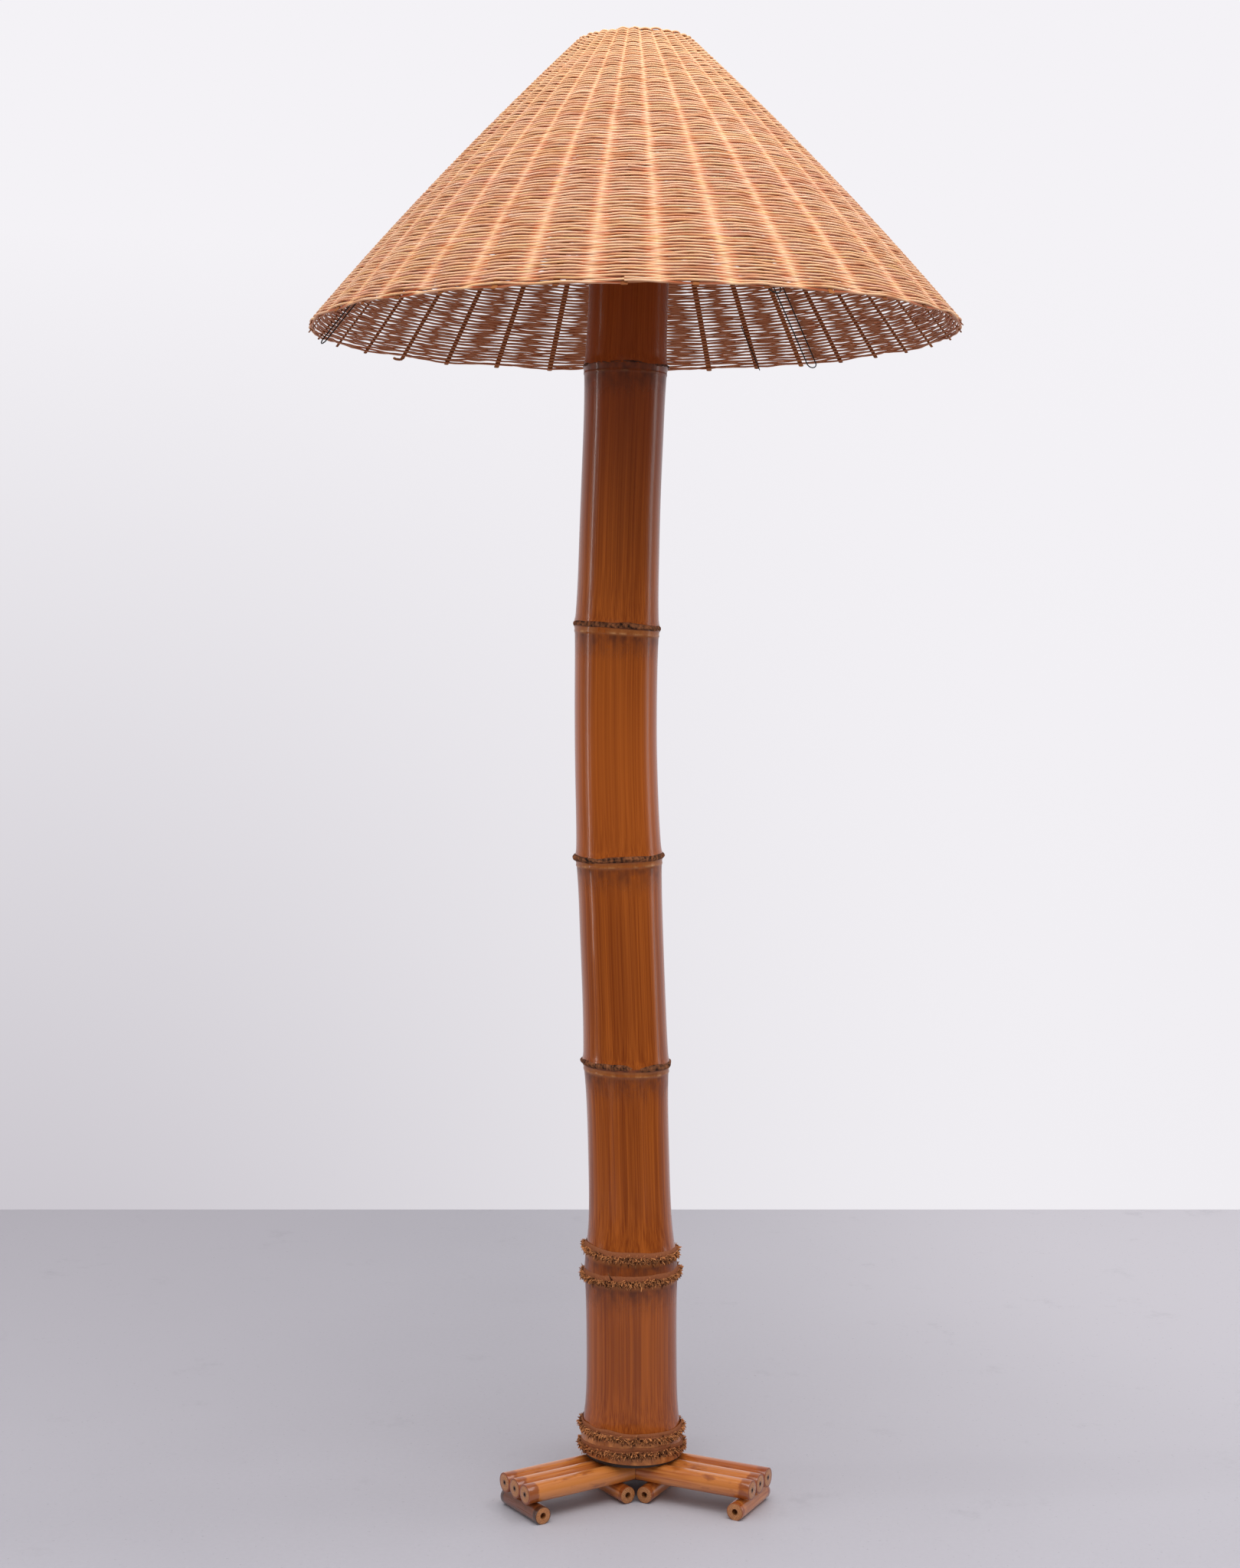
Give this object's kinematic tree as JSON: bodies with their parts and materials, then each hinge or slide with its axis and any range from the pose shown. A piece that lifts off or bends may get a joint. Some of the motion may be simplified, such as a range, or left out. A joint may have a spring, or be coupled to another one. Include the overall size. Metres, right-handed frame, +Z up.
{
  "type": "floor lamp",
  "caption": "Tall floor lamp: a crooked bamboo trunk with root rings on a splayed cane base, and a wide woven cone shade over its lamp holder.",
  "frame": {"origin": "on the floor, on the upright axis of the shade and its lamp holder", "axes": "+Z up along the lamp, -Y towards the pictured front, +X to the picture's right"},
  "size_m": [0.7974, 0.7967, 1.7721],
  "materials": {
    "lacquered_cane": "clear lacquer over tan cane, semi-gloss",
    "dark_cane": "dark stained cane, semi-gloss",
    "lacquered_bamboo": "clear lacquer over orange-brown bamboo, gloss",
    "root_fibre": "cut root ends, matt and rough",
    "dark_wood": "dark stained, satin",
    "peeled_cane": "peeled cane, matt",
    "stake_cane": "brown cane, matt",
    "steel": "zinc-grey, satin",
    "black_wire": "black annealed wire, satin",
    "brass": "plain, satin",
    "phenolic": "near black, satin",
    "porcelain": "off-white glaze",
    "opal_glass": "opal white, gloss"
  },
  "bodies": {
    "stand": {"rear_arm_cane_1": "lacquered_cane", "rear_arm_cane_2": "lacquered_cane", "rear_arm_cane_3": "lacquered_cane", "rear_outer_foot_cane": "dark_cane", "rear_inner_foot_cane": "lacquered_cane", "rear_base_screw": "steel", "left_arm_cane_1": "lacquered_cane", "left_arm_cane_2": "lacquered_cane", "left_arm_cane_3": "lacquered_cane", "left_outer_foot_cane": "dark_cane", "left_inner_foot_cane": "lacquered_cane", "left_base_screw": "steel", "right_arm_cane_1": "lacquered_cane", "right_arm_cane_2": "lacquered_cane", "right_arm_cane_3": "lacquered_cane", "right_outer_foot_cane": "dark_cane", "right_inner_foot_cane": "lacquered_cane", "right_base_screw": "steel", "base_disc": "dark_wood", "bamboo_trunk": "lacquered_bamboo", "root_ring_1": "root_fibre", "root_ring_2": "root_fibre", "root_ring_3": "root_fibre", "root_ring_4": "root_fibre", "cord_outlet": "phenolic", "trunk_cap": "dark_wood", "stem_tube": "steel", "stem_nut": "steel", "holder_cap": "phenolic", "contact_insert": "porcelain", "holder_shell": "phenolic", "thread_sleeve": "brass"},
    "shade": {"shade_weave": "peeled_cane", "shade_stakes": "stake_cane", "shade_top_ring": "steel", "shade_hub_ring": "steel", "spider_arm_1": "steel", "spider_arm_2": "steel", "spider_arm_3": "steel", "shade_strut_1": "black_wire", "shade_strut_2": "black_wire", "shade_strut_3": "black_wire"},
    "ring_nut": {"shade_ring_nut": "phenolic"},
    "bulb": {"bulb_cap": "brass", "bulb_glass": "opal_glass"}
  },
  "joints": [
    {"name": "shade_turn", "type": "hinge", "parent": "stand", "child": "shade", "pos_m": [0, 0, 1.6456], "axis": [0, 0, 1], "continuous": true},
    {"name": "ring_nut_turn", "type": "hinge", "parent": "stand", "child": "ring_nut", "pos_m": [0, 0, 1.651], "axis": [0, 0, 1], "continuous": true},
    {"name": "bulb_turn", "type": "hinge", "parent": "stand", "child": "bulb", "pos_m": [0, 0, 1.633], "axis": [0, 0, 1], "continuous": true}
  ]
}
